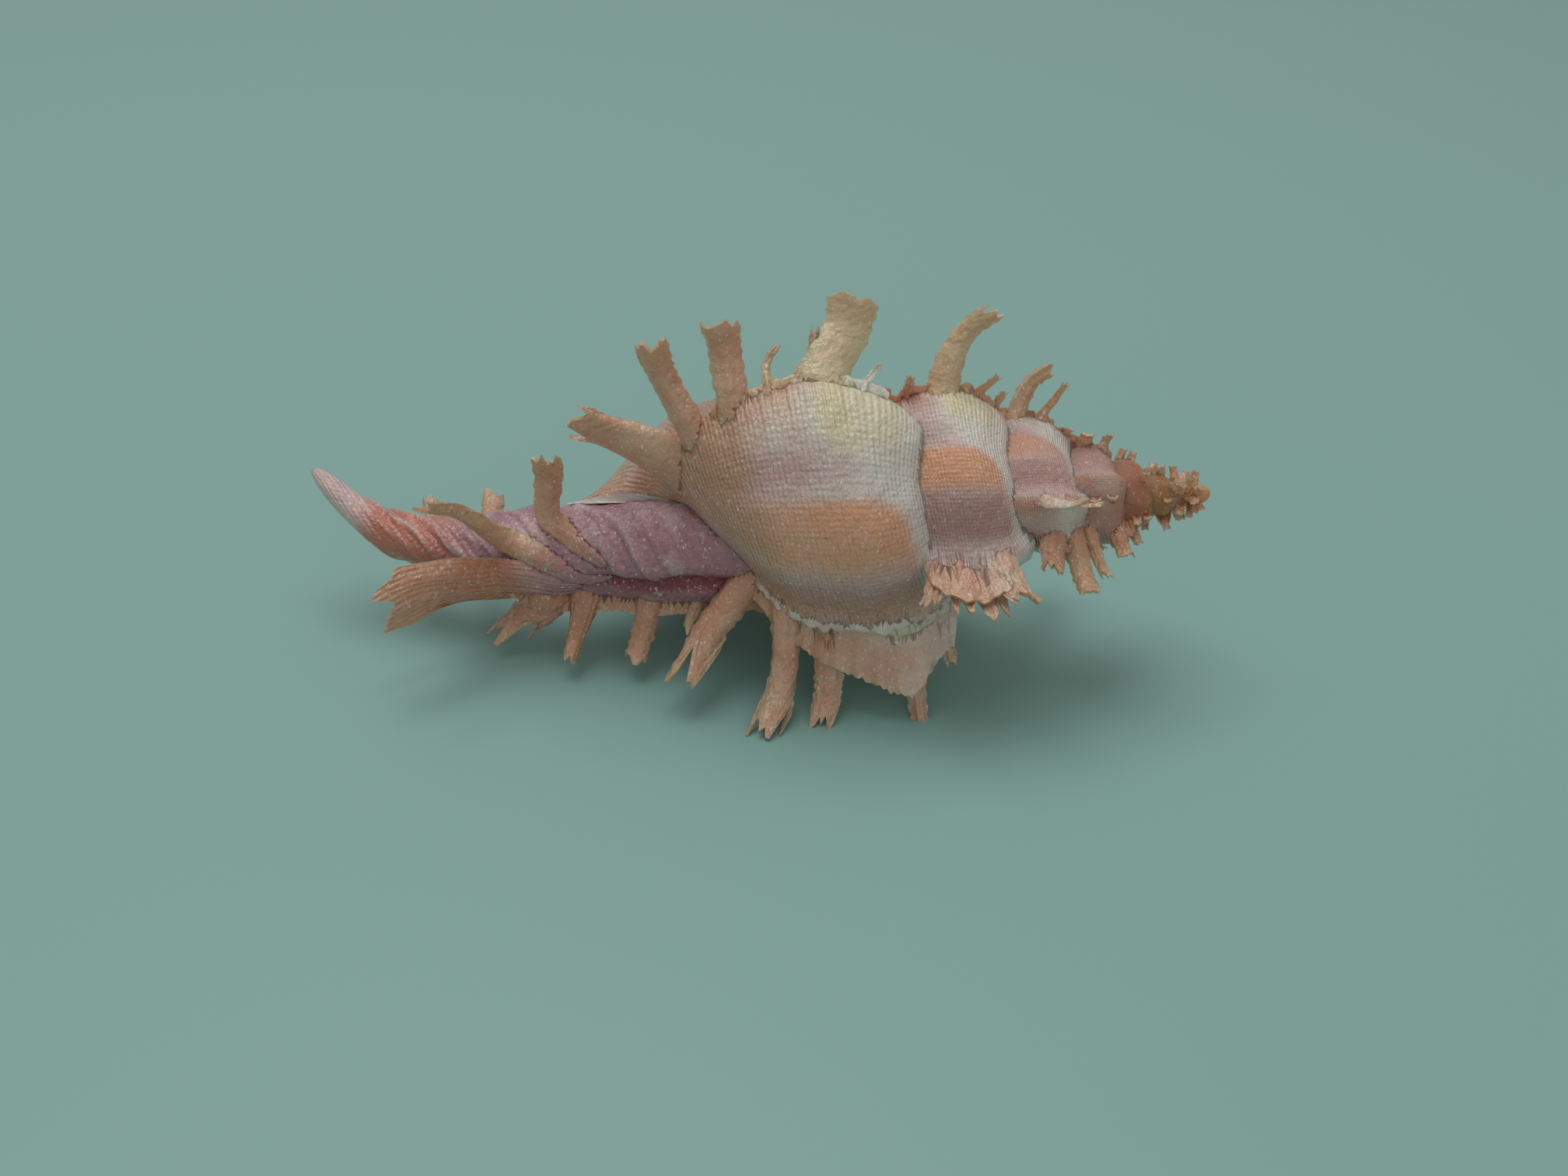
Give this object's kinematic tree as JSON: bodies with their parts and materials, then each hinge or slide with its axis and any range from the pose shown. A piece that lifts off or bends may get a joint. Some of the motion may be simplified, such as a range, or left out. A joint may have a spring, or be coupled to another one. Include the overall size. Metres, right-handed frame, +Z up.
{
  "type": "murex shell",
  "caption": "Spiny spired sea shell with frilled hollow fronds, a long bent siphonal canal and a horn operculum in its mouth, lying on its fronds.",
  "frame": {"origin": "on the surface the shell lies on, under the middle of its box", "axes": "+Z up, apex towards +X, siphonal canal towards -X, outer lip towards +Y"},
  "size_m": [0.0462, 0.0186, 0.02],
  "materials": {
    "shell": "satin ridged shell, peach and pink fronds, cream and white bands",
    "horn": "dark red-brown horn with growth rings"
  },
  "bodies": {
    "root": {"shell": "shell", "operculum": "horn"}
  },
  "joints": []
}
